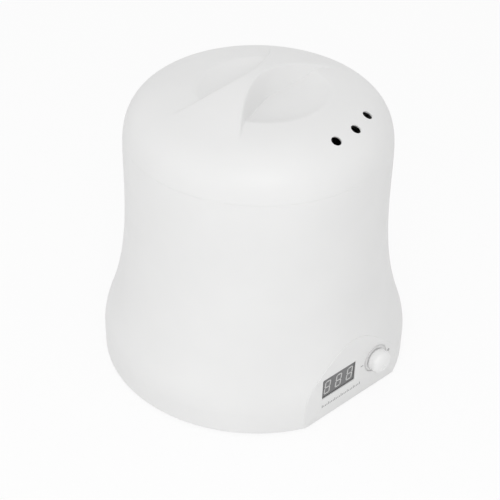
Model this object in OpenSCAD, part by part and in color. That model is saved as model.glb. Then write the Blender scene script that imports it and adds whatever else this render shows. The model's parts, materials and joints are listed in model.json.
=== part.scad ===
// Electric wax heater: bell-shaped housing, domed lid, heated well and lift-out wax pot.
// Millimetres, +Z up, front panel towards -Y, origin on the standing surface at the centre of the base.

/* [Housing] */
// Diameter of the base
base_d = 198; // [188:1:230]
// Distance by which the upper body, where the lid sits, lies inside the base
neck_step = 17.25; // [15:0.25:19]
// Height at which the straight base wall ends
shoulder_z = 22.6; // [21:0.2:26]
// Half of the height over which the shoulder is rounded
shoulder_blend = 8; // [3:0.5:10]
// Height at which the sweep has become the straight upper body
sweep_end_z = 137; // [120:1:138]
// How quickly the sweep flattens out
sweep_power = 2.82; // [2.2:0.02:3.2]
// Wall thickness of the mouldings
wall = 2.6; // [2:0.2:3.2]
// Depth of the deck's top face, which carries the well, below the seam
deck_drop = 21; // [20:0.5:26]
// Thickness of the deck
deck_t = 3; // [2.4:0.2:4]
// Thickness of the rim above the deck
rim_t = 3.4; // [3:0.2:5]
// Distance of the flat front panel behind the front of the base
panel_step = 8.95; // [8:0.05:10]
// Small chamfer at the foot of the base wall
base_chamfer = 0.4; // [0.4:0.1:1.2]

/* [Lid] */
// Height of the top of the grip, the highest point
total_h = 196; // [180:1:216]
// Height of the grip over the dome's crown
grip_rise = 9; // [7:0.5:12]
// Height of the crown over the line where the body starts to curve in
dome_rise = 48; // [44:0.5:50]
// Height of the seam between housing and lid over the same line
seam_rise = 18; // [16:0.5:20]
// Power of the dome's superellipse
dome_power = 3.7; // [3:0.1:4]
// Radius of the round finger dish
dish_r = 36.8; // [34:0.2:42]
// Depth of the finger dish below its rim
dish_depth = 5.5; // [4:0.5:7]
// Width of the grip at its waist
grip_waist = 11; // [9:0.5:16]
// Width of the grip at its ends
grip_end_w = 52; // [40:1:60]
// Reach of the grip from the axis
grip_reach = 54; // [50:1:60]
// Angle by which the lid is turned on its seat
lid_turn = 14.2; // [0:0.2:45]
// Diameter of a vent
vent_d = 6.3; // [5:0.1:8]
// Distance of the vents from the side of the upper body
vent_inset = 16.45; // [14:0.05:20]
// Angle between two vents
vent_pitch = 15.6; // [12:0.2:20]
// Depth of the lid's locating skirt
skirt_h = 5; // [3:0.5:8]
// Thickness of the locating skirt
skirt_t = 2; // [1.6:0.2:2.6]
// Clearance between lid and housing
lid_fit = 0.4; // [0.3:0.1:0.8]

/* [Pot and well] */
// Distance of the wax pot from the outside of the upper body
pot_inset = 24.25; // [24:0.25:30]
// Wall of the wax pot
pot_wall = 1.2; // [1:0.1:2]
// Width of the pot's flange
pot_flange_w = 4; // [3.4:0.2:4.8]
// Gap between pot and well
pot_gap = 1; // [0.5:0.1:1.5]
// Clearance under the pot where it is seated
seat_gap = 0.3; // [0.3:0.05:0.5]
// Wall of the heating well
well_wall = 1.5; // [1.2:0.1:2]
// Height of the well floor's top face
well_floor_z = 52; // [50:0.5:58]
// Width of the well's flange
well_flange_w = 10; // [9:0.5:12]
// Gap between the well and the edge of the deck's hole
deck_gap = 1.2; // [0.6:0.1:1.6]
// Thickness of the silicone gasket
gasket_t = 1; // [0.6:0.1:1.6]
// Thickness of the heater band
band_t = 1.6; // [1.2:0.1:2.4]
// Distance of the band's top below the bosses of the deck
band_top_gap = 13; // [8:1:18]
// Distance of the band from the well's floor
band_rise = 10; // [8:1:14]
// Radial gap between well, band and sleeve
band_gap = 0.2; // [0.1:0.05:0.4]
// Thickness of the insulation sleeve
sleeve_t = 5.5; // [4:0.5:7]
// Width of the band's opening for its clamp
band_opening = 12; // [10:0.5:16]

/* [Bail] */
// Diameter of the bail wire
wire_d = 3.2; // [2.4:0.1:3.6]
// Distance of the bail's crossbar from its pivot
bail_reach = 26; // [24:0.5:27]
// Bend radius at the crossbar's ends
bail_bend = 8; // [6:0.5:10]
// Bend radius at the pivots
pivot_bend = 3; // [2.5:0.25:3.5]
// Thickness of the lugs on the pot
lug_t = 1.5; // [1.2:0.1:2]
// Running clearance of the bail in its lugs
pivot_fit = 0.08; // [0.05:0.01:0.1]
// Diameter of the sleeve on the crossbar
bail_grip_d = 6.4; // [5:0.2:7]
// Length of the sleeve on the crossbar
bail_grip_l = 56; // [40:1:70]

/* [Panel] */
// Width of the display window
window_w = 28.4; // [26:0.2:29]
// Height of the display window
window_h = 15.2; // [12:0.2:15.4]
// Centre of the window, to the left of the axis
window_x = 11.2; // [10:0.2:12.4]
// Height of the window's centre
panel_mid_z = 23.8; // [22:0.2:24]
// Height of the window's centre over the knob's
knob_drop = 0; // [0:0.2:2]
// Clearance of the window in the panel
window_fit = 0.15; // [0.1:0.05:0.3]
// Centre of the knob, to the right of the axis
knob_x = 21; // [20.5:0.25:24]
// Diameter of the knob
knob_d = 15.2; // [14:0.2:16]
// Distance of the knob's face in front of the panel
knob_proud = 8.95; // [7:0.05:10]
// Diameter of the shallow dish round the knob
knob_dish_d = 19; // [18:0.5:21]
// Depth of the shallow dish round the knob
knob_dish_depth = 0.8; // [0.4:0.1:1]
// Diameter of the dial shaft
shaft_d = 4; // [3.6:0.1:4.2]
// Diameter of the dial control's threaded bush
bush_d = 7; // [6.4:0.1:7.4]
// Running clearance of the shaft in its bush
shaft_fit = 0.05; // [0.03:0.01:0.1]
// Distance of the front board behind the panel
front_board_gap = 11.7; // [11:0.1:14]

/* [Base] */
// Height of the rubber feet below the base
foot_h = 2; // [1.5:0.1:3]
// Diameter of a rubber foot
foot_d = 14; // [10:0.5:16]
// Thickness of the base plate
plate_t = 2.5; // [2:0.1:3]
// Clearance of the base plate in the housing
plate_fit = 0.4; // [0.2:0.1:0.6]
// Height of the posts under the power board
post_h = 8; // [6:0.5:9]
// Width of the power board
power_board_w = 80; // [76:1:90]
// Depth of the power board
power_board_l = 66; // [64:1:72]
// Thickness of the circuit boards
board_t = 1.6; // [1.2:0.1:2]
// Width of the inlet's face
inlet_w = 22; // [20:0.5:24]
// Height of the inlet's face
inlet_h = 13; // [12:0.5:14]
// Height of the inlet's centre
inlet_z = 15; // [14:0.5:17]
// Clearance of the inlet in the back wall
inlet_fit = 0.2; // [0.1:0.05:0.3]

/* [Hidden] */

$fn = 96;
eps = 0.01;
far = 400;

// Screws: thread radius, head radius and head height, and the pilot's clearance
screw_r = 1.25;
head_r = 2.6;
head_h = 1.8;
drive_r = 1;
pilot_fit = 0.05;
hole_fit = 0.25;
boss_r = 3.6;
boss_l = 8;
pilot_floor = 1;
pilot_spare = 2;

// How far a cut runs past the face that it opens
over = 1;

// Radii and heights that follow from the driving sizes
base_r = base_d / 2;
neck_r = base_r - neck_step;
rim_r = neck_r - rim_t;
panel_y = base_r - panel_step;
vent_r = neck_r - vent_inset;
inner_y = panel_y - wall;
crown_z = total_h - grip_rise;
dome_z = crown_z - dome_rise;
seam_z = dome_z + seam_rise;
deck_z = seam_z - deck_drop;
deck_low_z = deck_z - deck_t;
plate_z = foot_h;
plate_top_z = plate_z + plate_t;

pot_r = neck_r - pot_inset;
pot_floor_r = 6;
pot_flange_r = pot_r + pot_flange_w;
well_in_r = pot_r + pot_gap;
well_r = well_in_r + well_wall;
well_flange_r = well_r + well_flange_w;
well_flange_z = deck_z + gasket_t;
well_top_z = well_flange_z + well_wall;
well_low_z = well_floor_z - well_wall;
pot_flange_z = well_top_z + seat_gap;
pot_top_z = pot_flange_z + pot_wall;
pot_low_z = well_floor_z + seat_gap;
deck_hole_r = well_r + deck_gap;
well_screw_edge = 1;
well_screw_pcr = well_flange_r - head_r - well_screw_edge;
well_screw_l = well_wall + gasket_t + deck_t + boss_l - pilot_spare;

band_in_r = well_r + band_gap;
band_r = band_in_r + band_t;
band_z = well_floor_z + band_rise;
band_h = deck_low_z - boss_l - band_top_gap - band_z;
sleeve_in_r = band_r + band_gap;
sleeve_r = sleeve_in_r + sleeve_t;
sleeve_over = 2;
sleeve_side = 6;
band_ear_l = 10;
band_ear_t = 1.2;
band_ear_x = band_opening / 2 + band_ear_t;
band_ear_root = 1;
band_bolt_y = band_r + 0.6 * band_ear_l;
band_bolt_places = [0.25, 0.75];
band_bolt_fit = 0.1;
band_nut_r = 2.8;
band_nut_t = 2.2;
band_bolt_tail = 4;

wire_r = wire_d / 2;
pivot_z = pot_top_z + wire_r + seat_gap;
lug_x = pot_flange_r - lug_t;
lug_w = 9;
arm_x = lug_x - seat_gap - pivot_bend;
bail_head_x = lug_x + lug_t + seat_gap;
bail_head_t = 1;
bail_head_rim = 1;
bail_head_r = wire_r + bail_head_rim;
bail_grip_edge = 0.8;
bail_grip_bevel = 1.2;
bail_grip_fit = 0.05;
bend_thinning = 0.04;
bend_overlap = 0.1;

knob_r = knob_d / 2;
knob_z = panel_mid_z - knob_drop;
dish_face_y = panel_y - knob_dish_depth;
knob_gap = 0.4;
knob_back_y = dish_face_y + knob_gap;
knob_face_y = panel_y + knob_proud;
knob_edge = 3;
knob_taper = 0.2;
knob_crown = 1;
knob_cap_t = 2;
nut_t = 1.6;
nut_r = 5;
nut_fit = 0.05;
nut_side = 0.9;
nut_room = 2;
bush_tail = 0.8;
collar_t = 1.2;
collar_w = 1.5;
collar_gap = 0.4;
collar_side = 0.3;
dial_floor = 0.6;
shaft_end_gap = 0.5;
front_board_y = inner_y - front_board_gap;
front_board_w = 78;
front_board_h = 26;
front_post_r = 3;
front_post_x = 34.5;
front_post_dz = 9;
front_screw_l = 6;
board_corner = 2;
window_lip = 1.5;
window_lip_t = 1;
window_corner = 0.8;
window_sink = 0.3;
led_side = 0.3;
led_gap = 0.2;
led_corner = 0.5;
led_pin_tail = 1.5;
led_pin_r = 0.3;
led_pin_pitch = 5;
led_pin_dz = 5;
dial_body_w = 15;
dial_body_l = 6.5;

power_board_y = 18;
power_board_z = plate_top_z + post_h;
power_board_top_z = power_board_z + board_t;
power_post_edge = 5;
power_post_x = power_board_w / 2 - power_post_edge;
power_post_y = power_board_l / 2 - power_post_edge;

// Sizes and places of what stands on the power board
relay_size = [15, 19, 15];
relay_place = [-22, 8];
relay_lid_edge = 0.5;
relay_lid_t = 0.6;
sink_size = [2, 24, 18];
sink_place = [22, 4];
fin_l = 6;
fin_t = 1.2;
fin_pitch = 4;
fin_count = 6;
triac_size = [3.2, 10, 12];
triac_rise = 3;
capacitor_r = 5;
capacitor_h = 17;
capacitor_place = [0, -8];
capacitor_rim = 0.6;
block_size = [30, 10, 11];
block_edge = 6;
block_pitch = 9;
block_hole_r = 2;
block_screw_y = -2;
block_screw_z = 5;
block_wire_y = 3;
block_wire_z = 3.5;

inlet_sink = 0.4;
inlet_face_y = sqrt(base_r * base_r - inlet_w * inlet_w / 4) - inlet_sink;
inlet_pad_t = 3;
inlet_pad_y = base_r - wall - inlet_pad_t;
inlet_flange_t = 2;
inlet_ear = 7;
inlet_lip = 1;
inlet_flange_w = inlet_w + 2 * inlet_ear;
inlet_flange_h = inlet_h + 2 * inlet_lip;
inlet_body_l = 18;
inlet_screw_side = 4;
inlet_screw_x = inlet_w / 2 + inlet_screw_side;
inlet_screw_l = 3;
inlet_tab_y = inlet_pad_y - inlet_flange_t - inlet_body_l;
socket_w = 15.6;
socket_h = 8;
socket_l = 12;
pin_pitch = 8.6;
pin_r = 1.2;
pin_fit = 0.02;
pin_sink = 2;
pin_tail = 4;

base_boss_r = 4.5;
base_boss_inset = 3.6;
base_boss_drop = 3;
base_boss_pcr = base_r - wall - base_boss_inset;
base_boss_top_z = shoulder_z - base_boss_drop;
foot_inset = 21;
foot_pcr = base_r - foot_inset;
foot_stem_r = 2.4;
foot_fit = 0.05;
foot_edge = 0.8;
foot_barb_r = 1;
foot_barb_tip = 0.4;
foot_barb_h = 2;
base_screw_l = 12;
base_head_h = 1.2;
base_head_side = 0.3;
base_web_t = 1.2;
slot_l = 26;
slot_w = 3;
slot_pitch = 9;
slot_row_y = 31;

sensor_boss_h = 4;
sensor_boss_r = 3.4;
sensor_pilot_floor = 0.5;
sensor_z = well_low_z - sensor_boss_h;
cutout_r = 8;
cutout_h = 7;
cutout_step = 0.6;
cutout_pitch = 24;
cutout_x = -16;
strap_w = 8;
strap_t = 1;
strap_end = 3.5;
tab_size = [0.8, 5, 6];
tab_x = 4;
probe_x = 22;
probe_t = 1.2;
probe_lug_r = 4;
probe_tab = [4.4, 8];
probe_tab_y = 5;
probe_tube_r = 2.2;
probe_tube_y = 6;
probe_tube_l = 12;

// Internal wiring
lead_r = 1.3;
lead_fit = 0.3;
heater_lead_x = 30;
heater_lead_y = 24;
sensor_lead_edge = 8;
sensor_lead_front = 22;
sensor_lead_x = power_board_w / 2 - sensor_lead_edge;
sensor_lead_y = power_board_y - sensor_lead_front;
block_mouth_y = power_board_y + power_board_l / 2 - block_edge + block_size[1] / 2;
block_mouth_z = power_board_top_z + block_wire_z;
ribbon_w = 14;
ribbon_t = 1.2;
ribbon_x = 8;
ribbon_drop = 8;
ribbon_edge = 4;
ribbon_bow = 14;

// Outline of the bell at height z: straight base wall, rounded shoulder, sweep, straight upper body
function ramp(z) = let (d = z - shoulder_z)
    d <= -shoulder_blend ? 0 : d >= shoulder_blend ? d : pow(d + shoulder_blend, 2) / (4 * shoulder_blend);
function bell_r(z) = neck_r
    + (base_r - neck_r) * pow(max(0, 1 - ramp(z) / (sweep_end_z - shoulder_z)), sweep_power);

// The dome is a superellipse over the upper body; inset moves it inwards by a wall
function dome_point(t, inset = 0) =
    [(neck_r - inset) * pow(cos(t), 2 / dome_power),
     dome_z + (dome_rise - inset) * pow(sin(t), 2 / dome_power)];
function dome_angle(z, inset = 0) = asin(pow((z - dome_z) / (dome_rise - inset), dome_power / 2));
function dome_h(r) = dome_z + dome_rise * pow(max(0, 1 - pow(r / neck_r, dome_power)), 1 / dome_power);
function dome_arc(from_z, to_angle, steps, inset = 0) = let (a = dome_angle(from_z, inset))
    [for (i = [0:steps]) dome_point(a + (to_angle - a) * i / steps, inset)];
function dome_tilt(r) = let (h = (dome_h(r) - dome_z) / dome_rise)
    atan2(pow(r / neck_r, dome_power - 1) / neck_r, pow(h, dome_power - 1) / dome_rise);

dome_steps = 20;
sweep_steps = 24;
lip_steps = 4;
sweep_low_z = shoulder_z - shoulder_blend;
function bell_arc(inset, top_z) =
    [for (i = [0:sweep_steps])
        let (z = sweep_low_z + (min(sweep_end_z, top_z) - sweep_low_z) * i / sweep_steps)
            [bell_r(z) - inset, z]];

// The grip: half width along its length, and the height of its top over the dome
grip_steps = 14;
function grip_half_w(x) = grip_waist / 2 + (grip_end_w - grip_waist) / 2 * pow(abs(x) / grip_reach, 2);
function grip_top(r) = dome_h(r) + grip_rise * (1 - pow(r / grip_reach, 2));
dish_rim_z = dome_h(dish_r);
dish_floor_z = dish_rim_z - dish_depth;
dish_steps = 10;
function dish_z(r) = dish_floor_z + dish_depth * pow(r / dish_r, 3);

// A wire through points: a smooth curve swept with a round section
function unit(v) = v / norm(v);
function spline(a, b, c, d, t) =
    0.5 * (2 * b + (c - a) * t + (2 * a - 5 * b + 4 * c - d) * t * t + (3 * b - a - 3 * c + d) * t * t * t);
function smooth_path(p, n) = let (m = len(p) - 1)
    [for (i = [0:m - 1]) for (k = [0:n - 1])
        spline(p[max(i - 1, 0)], p[i], p[i + 1], p[min(i + 2, m)], k / n),
     p[m]];
wire_sides = 8;
wire_steps = 4;
function wire_ring(q, i, r) = let (
        m = len(q) - 1,
        t = unit(q[min(i + 1, m)] - q[max(i - 1, 0)]),
        u = unit(cross(t, [0.37, 0.61, 0.7])),
        v = cross(t, u))
    [for (k = [0:wire_sides - 1]) let (a = 360 * k / wire_sides) q[i] + r * (cos(a) * u + sin(a) * v)];
module wire(points, r) {
    q = smooth_path(points, wire_steps);
    m = len(q) - 1;
    s = wire_sides;
    polyhedron(
        [for (i = [0:m]) each wire_ring(q, i, r)],
        concat(
            [for (k = [1:s - 2]) [0, k, k + 1]],
            [for (i = [0:m - 1]) for (k = [0:s - 1])
                each [[i * s + k, (i + 1) * s + k, (i + 1) * s + (k + 1) % s],
                      [i * s + k, (i + 1) * s + (k + 1) % s, i * s + (k + 1) % s]]],
            [for (k = [1:s - 2]) [m * s, m * s + k + 1, m * s + k]]));
}

module ring(r_out, r_in, h) {
    difference() {
        cylinder(r = r_out, h = h);
        translate([0, 0, -eps]) cylinder(r = r_in, h = h + 2 * eps);
    }
}

// A pan-head screw along +Z with its head's underside at the origin and its thread below
module screw(l) {
    translate([0, 0, -l]) cylinder(r = screw_r, h = l + eps, $fn = 32);
    difference() {
        cylinder(r = head_r, h = head_h, $fn = 32);
        translate([0, 0, head_h / 2]) cylinder(r = drive_r, h = head_h, $fn = 6);
    }
}

module block(w, l, h) {
    translate([-w / 2, -l / 2, 0]) cube([w, l, h]);
}

// A plate in the XZ plane with round corners, its back at y = 0 and its face towards -Y
module panel_plate(w, h, t, corner) {
    rotate([90, 0, 0]) linear_extrude(t) {
        square([w - 2 * corner, h], center = true);
        square([w, h - 2 * corner], center = true);
        for (x = [-1, 1], z = [-1, 1])
            translate([x * (w / 2 - corner), z * (h / 2 - corner)]) circle(r = corner, $fn = 32);
    }
}

module at_panel(x, y, z) {
    translate([x, -y, z]) rotate([90, 0, 0]) children();
}

module behind_plane(y) {
    translate([-far / 2, -y, -far / 2]) cube([far, far, far]);
}

// Places of things that repeat
module at_base_bosses() {
    for (a = [45:90:315]) rotate(a) translate([base_boss_pcr, 0, 0]) children();
}
module at_feet() {
    for (a = [20:90:290]) rotate(a) translate([foot_pcr, 0, 0]) children();
}
module at_well_screws() {
    for (a = [45:90:315]) rotate(a) translate([well_screw_pcr, 0, 0]) children();
}
module at_front_posts() {
    for (x = [-1, 1], z = [-1, 1])
        translate([x * front_post_x, 0, panel_mid_z + z * front_post_dz]) children();
}
module at_led_pins() {
    for (i = [-2:2], z = [-1, 1]) translate([i * led_pin_pitch, 0, z * led_pin_dz]) children();
}
module at_power_posts() {
    for (x = [-1, 1], y = [-1, 1])
        translate([x * power_post_x, power_board_y + y * power_post_y, 0]) children();
}
module at_inlet_screws() {
    for (x = [-1, 1]) translate([x * inlet_screw_x, 0, inlet_z]) children();
}
module at_sensor_screws() {
    translate([probe_x, 0, 0]) children();
    for (y = [-1, 1]) translate([cutout_x, y * cutout_pitch / 2, 0]) children();
}

// Domed cover with finger dish, raised grip, vents and locating skirt
module dish_solid(drop) {
    rotate_extrude() polygon(concat(
        [for (i = [0:dish_steps]) let (r = dish_r * i / dish_steps) [r, dish_z(r) - drop]],
        [[dish_r + drop, dish_rim_z - drop / 2], [dish_r + drop, total_h + over], [0, total_h + over]]));
}
module grip_solid(inset, low_z) {
    xs = [for (i = [-grip_steps:grip_steps]) grip_reach * i / grip_steps];
    reach = grip_reach - inset;
    intersection() {
        translate([0, 0, low_z]) linear_extrude(total_h) polygon(concat(
            [for (x = xs) [x, -grip_half_w(x) + inset]],
            [for (i = [len(xs) - 1:-1:0]) [xs[i], grip_half_w(xs[i]) - inset]]));
        rotate_extrude() polygon(concat(
            [[0, low_z], [reach, low_z]],
            [for (i = [grip_steps:-1:0]) let (r = reach * i / grip_steps) [r, grip_top(r) - inset]]));
    }
}
module lid() {
    low_z = seam_z + lid_fit;
    skirt_r = rim_r - lid_fit;
    color("white") rotate(lid_turn) difference() {
        union() {
            difference() {
                rotate_extrude() polygon(concat([[0, low_z]], dome_arc(low_z, 90, dome_steps)));
                dish_solid(0);
            }
            grip_solid(0, dish_floor_z - wall / 2);
            translate([0, 0, seam_z - skirt_h]) cylinder(r = skirt_r, h = skirt_h + lid_fit + eps);
        }
        difference() {
            rotate_extrude() polygon(concat(
                [[0, 0], [skirt_r - skirt_t, 0], [skirt_r - skirt_t, low_z + wall]],
                dome_arc(low_z + wall, 90, dome_steps, wall)));
            dish_solid(wall);
        }
        grip_solid(wall, dish_floor_z - 2 * wall);
        for (a = [-vent_pitch, 0, vent_pitch]) rotate(a)
            translate([0, -vent_r, dome_h(vent_r)]) rotate([dome_tilt(vent_r), 0, 0])
                cylinder(d = vent_d, h = 6 * wall, center = true);
    }
}

// Bell-shaped shell with the flat panel, the deck, its bosses and the cut-outs
module bell_solid() {
    rotate_extrude() polygon(concat(
        [[0, foot_h], [base_r - base_chamfer, foot_h], [base_r, foot_h + base_chamfer]],
        bell_arc(0, sweep_end_z), dome_arc(dome_z, dome_angle(seam_z), lip_steps), [[0, seam_z]]));
}
module bell_hollow() {
    rotate_extrude() polygon(concat(
        [[0, -over], [base_r - wall, -over]], bell_arc(wall, deck_low_z),
        [[bell_r(deck_low_z) - wall, deck_low_z], [0, deck_low_z]]));
}
module housing() {
    color("white") difference() {
        union() {
            difference() {
                intersection() {
                    bell_solid();
                    behind_plane(panel_y);
                }
                intersection() {
                    bell_hollow();
                    behind_plane(inner_y);
                }
            }
            at_base_bosses() translate([0, 0, plate_top_z])
                cylinder(r = base_boss_r, h = base_boss_top_z - plate_top_z, $fn = 48);
            at_well_screws() translate([0, 0, deck_low_z - boss_l])
                cylinder(r = boss_r, h = boss_l + eps, $fn = 48);
            intersection() {
                translate([0, -inner_y - eps, 0]) at_front_posts() rotate([-90, 0, 0])
                    cylinder(r = front_post_r, h = front_board_gap, $fn = 48);
                bell_solid();
            }
            intersection() {
                translate([0, (inlet_pad_y + base_r) / 2, inlet_z - inlet_flange_h / 2])
                    block(inlet_flange_w, base_r - inlet_pad_y, inlet_flange_h);
                bell_solid();
            }
        }
        translate([0, 0, deck_z]) cylinder(r = rim_r, h = far);
        translate([0, 0, deck_low_z - over]) cylinder(r = deck_hole_r, h = deck_t + 2 * over);
        at_base_bosses() translate([0, 0, plate_top_z - over])
            cylinder(r = screw_r + pilot_fit, h = base_screw_l + pilot_spare + over, $fn = 32);
        at_well_screws() translate([0, 0, deck_low_z - boss_l + pilot_floor])
            cylinder(r = screw_r + pilot_fit, h = deck_t + boss_l - pilot_floor + over, $fn = 32);
        translate([0, -front_board_y - eps, 0]) at_front_posts() rotate([90, 0, 0])
            cylinder(r = screw_r + pilot_fit, h = front_screw_l + pilot_spare, $fn = 32);
        translate([-window_x, over - inner_y, panel_mid_z])
            panel_plate(window_w, window_h, wall + 2 * over, window_corner);
        at_panel(knob_x, inner_y - over, knob_z)
            cylinder(d = bush_d + 2 * window_fit, h = wall + 2 * over);
        at_panel(knob_x, dish_face_y, knob_z) cylinder(d = knob_dish_d, h = knob_dish_depth + over);
        translate([0, (inlet_pad_y + base_r) / 2, inlet_z - inlet_h / 2 - inlet_fit])
            block(inlet_w + 2 * inlet_fit, base_r - inlet_pad_y + 2 * over, inlet_h + 2 * inlet_fit);
        at_inlet_screws() translate([0, inlet_pad_y - eps, 0]) rotate([-90, 0, 0])
            cylinder(r = screw_r + pilot_fit, h = inlet_screw_l + pilot_floor, $fn = 32);
    }
}

// Dark window, let into the panel from behind and held by its lip
module display_window() {
    color("dimgray") translate([-window_x, -inner_y, panel_mid_z]) {
        panel_plate(window_w - 2 * window_fit, window_h - 2 * window_fit, wall - window_sink, window_corner);
        translate([0, window_lip_t, 0])
            panel_plate(window_w + 2 * window_lip, window_h + 2 * window_lip, window_lip_t,
                        window_corner + window_lip / 2);
    }
}

// LED display, three digits, between the front board and the window
module display_module() {
    depth = front_board_gap - window_lip_t;
    color("black") translate([-window_x, -front_board_y, panel_mid_z]) {
        panel_plate(window_w + 2 * led_side, window_h, depth - led_gap, led_corner);
        at_led_pins() rotate([-90, 0, 0]) cylinder(r = led_pin_r, h = board_t + led_pin_tail, $fn = 16);
    }
}

// Round knob, lightly domed, hollow at the back for the nut
module control_knob() {
    length = knob_face_y - knob_back_y;
    hollow_l = nut_t + nut_room - knob_gap;
    top_r = knob_r - knob_taper - knob_edge;
    top_l = length - knob_crown - knob_edge;
    color("white") at_panel(knob_x, knob_back_y, knob_z) rotate_extrude() difference() {
        polygon(concat(
            [[0, 0], [knob_r, 0]],
            [for (a = [0:15:90]) [top_r + knob_edge * cos(a), top_l + knob_edge * sin(a)]],
            [[top_r / 2, length - knob_crown / 4], [0, length]]));
        translate([0, -over]) square([shaft_d / 2 + shaft_fit / 2, length - knob_cap_t + over]);
        translate([0, -over]) square([nut_r + nut_side, hollow_l + over]);
    }
}

// Shaft of the dial control, turning with the knob
module dial_shaft() {
    start_y = front_board_y + dial_floor + collar_gap;
    color("silver") at_panel(knob_x, start_y, knob_z) {
        cylinder(d = shaft_d, h = knob_face_y - knob_cap_t - shaft_end_gap - start_y, $fn = 48);
        cylinder(d = shaft_d + 2 * collar_w, h = collar_t, $fn = 48);
    }
}

// Body and threaded bush of the dial control
module dial_control() {
    color("steelblue") difference() {
        union() {
            translate([knob_x, -front_board_y - dial_body_l / 2, knob_z - dial_body_w / 2])
                block(dial_body_w, dial_body_l, dial_body_w);
            at_panel(knob_x, front_board_y, knob_z)
                cylinder(d = bush_d, h = dish_face_y + nut_t + bush_tail - front_board_y, $fn = 64);
        }
        at_panel(knob_x, front_board_y + dial_floor, knob_z) {
            cylinder(d = shaft_d + 2 * shaft_fit, h = far, $fn = 48);
            cylinder(d = shaft_d + 2 * (collar_w + collar_side), h = collar_t + 2 * collar_gap, $fn = 48);
        }
    }
}

// Nut that clamps the bush to the panel, inside the hollow of the knob
module dial_nut() {
    color("silver") at_panel(knob_x, dish_face_y, knob_z) difference() {
        cylinder(r = nut_r, h = nut_t, $fn = 6);
        translate([0, 0, -over]) cylinder(d = bush_d + 2 * nut_fit, h = nut_t + 2 * over, $fn = 64);
    }
}

// Circuit board behind the panel
module front_board() {
    color("seagreen") difference() {
        translate([0, -front_board_y + board_t, panel_mid_z])
            panel_plate(front_board_w, front_board_h, board_t, board_corner);
        translate([0, -front_board_y - over, 0]) at_front_posts() rotate([-90, 0, 0])
            cylinder(r = screw_r + hole_fit, h = board_t + 2 * over, $fn = 32);
        translate([-window_x, -front_board_y - over, panel_mid_z]) at_led_pins() rotate([-90, 0, 0])
            cylinder(r = led_pin_r + hole_fit, h = board_t + 2 * over, $fn = 16);
    }
}
module front_board_screws() {
    color("silver") translate([0, -front_board_y + board_t, 0]) at_front_posts() rotate([-90, 0, 0])
        screw(board_t + front_screw_l);
}

// Lift-out aluminium pot with a flange and two upright lugs for the bail; each lug has a round head on a
// straight foot that starts inside the flange
module lug_outline() {
    foot_l = pivot_z - pot_top_z + pot_wall / 2;
    intersection() {
        union() {
            circle(d = lug_w, $fn = 64);
            translate([0, -lug_w / 2]) square([foot_l, lug_w]);
        }
        translate([-lug_w, -lug_w]) square([lug_w + foot_l, 2 * lug_w]);
    }
}
module wax_pot() {
    in_r = pot_floor_r - pot_wall;
    centre_x = pot_r - pot_floor_r;
    centre_z = pot_low_z + pot_floor_r;
    color("silver") difference() {
        union() {
            rotate_extrude() polygon(concat(
                [[0, pot_low_z]],
                [for (a = [-90:15:0]) [centre_x + pot_floor_r * cos(a), centre_z + pot_floor_r * sin(a)]],
                [[pot_r, pot_flange_z], [pot_flange_r, pot_flange_z], [pot_flange_r, pot_top_z],
                 [pot_r - pot_wall, pot_top_z]],
                [for (a = [0:-15:-90]) [centre_x + in_r * cos(a), centre_z + in_r * sin(a)]],
                [[0, pot_low_z + pot_wall]]));
            for (side = [0, 180]) rotate(side) translate([lug_x, 0, pivot_z]) rotate([0, 90, 0])
                linear_extrude(lug_t) lug_outline();
        }
        for (side = [0, 180]) rotate(side) translate([lug_x - over, 0, pivot_z]) rotate([0, 90, 0])
            cylinder(r = wire_r + pivot_fit, h = lug_t + 2 * over, $fn = 64);
    }
}

// Low wire bail, lying on the flange towards the back; its ends turn in the lugs
module elbow(bend) {
    rotate_extrude(angle = 90) translate([bend, 0]) circle(r = wire_r - bend_thinning, $fn = 48);
}
module pot_bail() {
    corner_x = arm_x - bail_bend;
    color("gainsboro") translate([0, 0, pivot_z]) {
        for (side = [0, 1]) mirror([side, 0, 0]) {
            translate([arm_x + pivot_bend - bend_overlap, 0, 0]) rotate([0, 90, 0])
                cylinder(r = wire_r, h = bail_head_x + bail_head_t / 2 - arm_x - pivot_bend + bend_overlap);
            translate([bail_head_x, 0, 0]) rotate([0, 90, 0])
                cylinder(r = bail_head_r, h = bail_head_t, $fn = 48);
            translate([arm_x + pivot_bend, pivot_bend, 0]) rotate(180) elbow(pivot_bend);
            translate([arm_x, pivot_bend - bend_overlap, 0]) rotate([-90, 0, 0])
                cylinder(r = wire_r, h = bail_reach - bail_bend - pivot_bend + 2 * bend_overlap);
            translate([corner_x, bail_reach - bail_bend, 0]) elbow(bail_bend);
        }
        translate([-corner_x - bend_overlap, bail_reach, 0]) rotate([0, 90, 0])
            cylinder(r = wire_r, h = 2 * (corner_x + bend_overlap));
    }
}
module bail_grip() {
    grip_r = bail_grip_d / 2;
    color("dimgray") translate([-bail_grip_l / 2, bail_reach, pivot_z]) rotate([0, 90, 0]) difference() {
        rotate_extrude() polygon([
            [0, 0], [grip_r - bail_grip_edge, 0], [grip_r, bail_grip_bevel],
            [grip_r, bail_grip_l - bail_grip_bevel], [grip_r - bail_grip_edge, bail_grip_l],
            [0, bail_grip_l]]);
        translate([0, 0, -over]) cylinder(r = wire_r + bail_grip_fit, h = bail_grip_l + 2 * over, $fn = 48);
    }
}

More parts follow.
